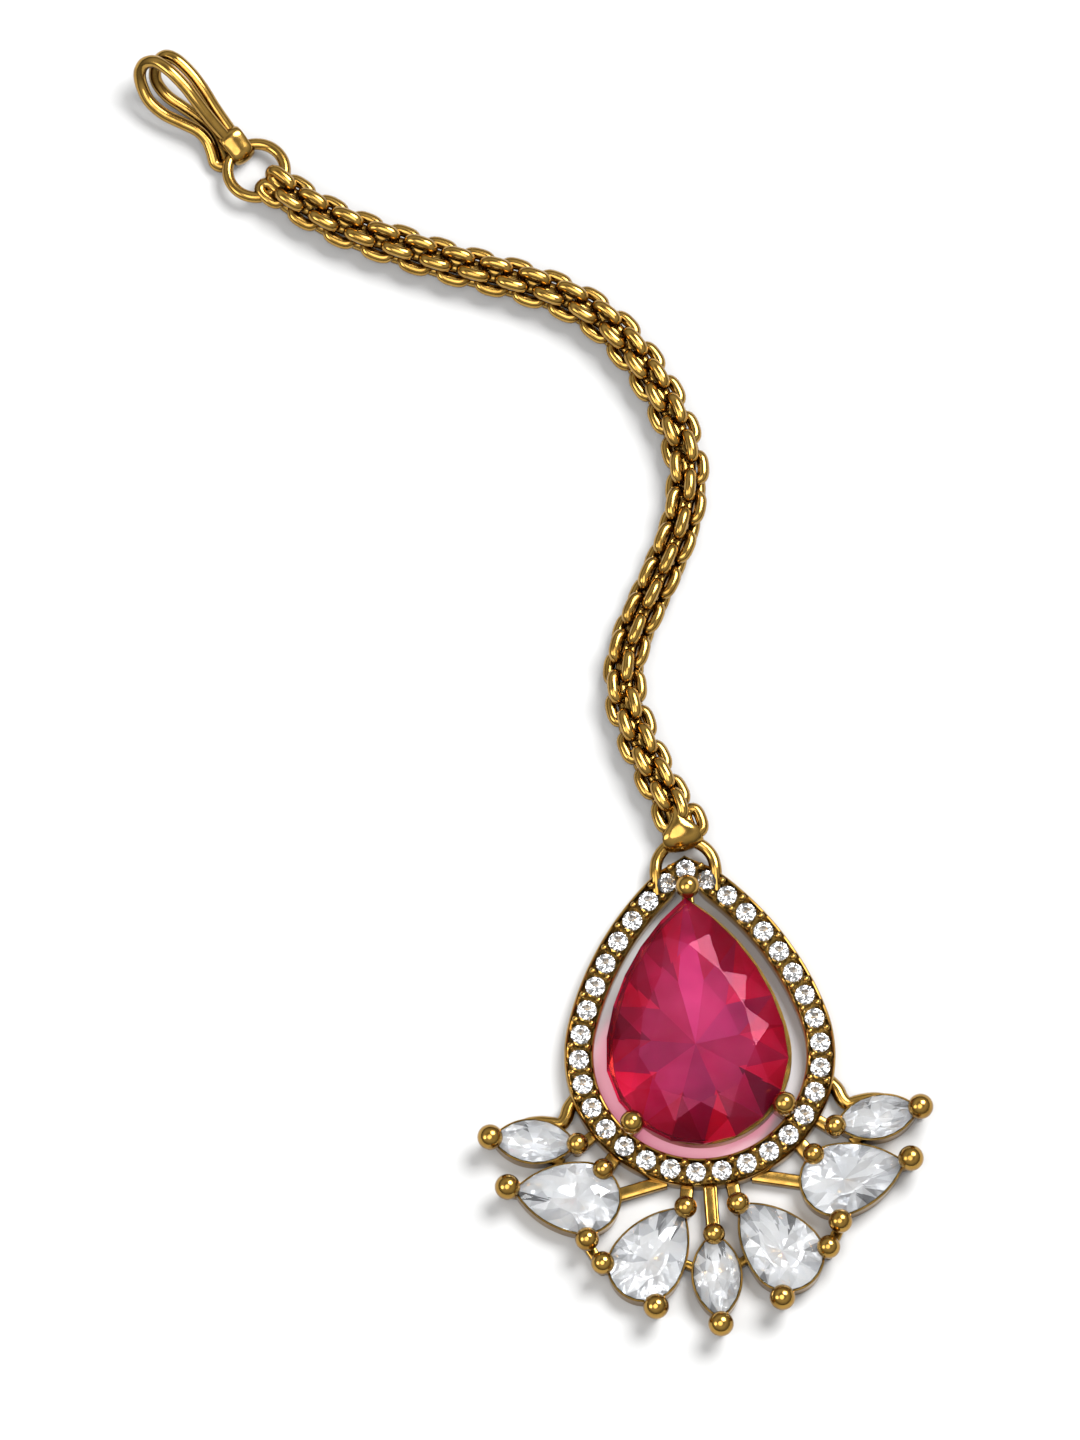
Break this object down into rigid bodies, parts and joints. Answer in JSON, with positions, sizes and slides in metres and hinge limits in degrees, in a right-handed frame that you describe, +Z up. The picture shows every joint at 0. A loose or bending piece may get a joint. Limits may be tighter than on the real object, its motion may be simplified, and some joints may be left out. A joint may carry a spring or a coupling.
{
  "type": "maang tikka",
  "caption": "Gold-toned forehead ornament: pear-shaped red stone in a halo of small stones over a fan of clear stones, on a woven link chain with a wire hair hook.",
  "frame": {"origin": "centre of the footprint on the table, at the height of the pendant's back", "axes": "+Y along the pendant from its fan to its tip and on towards the hook, +Z up out of the main stone's table"},
  "size_m": [0.0708, 0.1344, 0.0063],
  "materials": {
    "gold": "polished, antiqued in the recesses",
    "ruby": "polished facets",
    "crystal": "polished facets"
  },
  "bodies": {
    "root": {"pendant_frame": "gold", "main_stone": "ruby", "halo_stone_01": "crystal", "halo_stone_02": "crystal", "halo_stone_03": "crystal", "halo_stone_04": "crystal", "halo_stone_05": "crystal", "halo_stone_06": "crystal", "halo_stone_07": "crystal", "halo_stone_08": "crystal", "halo_stone_09": "crystal", "halo_stone_10": "crystal", "halo_stone_11": "crystal", "halo_stone_12": "crystal", "halo_stone_13": "crystal", "halo_stone_14": "crystal", "halo_stone_15": "crystal", "halo_stone_16": "crystal", "halo_stone_17": "crystal", "halo_stone_18": "crystal", "halo_stone_19": "crystal", "halo_stone_20": "crystal", "halo_stone_21": "crystal", "halo_stone_22": "crystal", "halo_stone_23": "crystal", "halo_stone_24": "crystal", "halo_stone_25": "crystal", "halo_stone_26": "crystal", "halo_stone_27": "crystal", "halo_stone_28": "crystal", "halo_stone_29": "crystal", "halo_stone_30": "crystal", "halo_stone_31": "crystal", "halo_stone_32": "crystal", "halo_stone_33": "crystal", "marquise_side_right": "crystal", "pear_upper_right": "crystal", "pear_lower_right": "crystal", "marquise_side_left": "crystal", "pear_upper_left": "crystal", "pear_lower_left": "crystal", "marquise_centre": "crystal", "bail": "gold", "chain": "gold", "jump_ring": "gold", "hair_hook": "gold"}
  },
  "joints": []
}
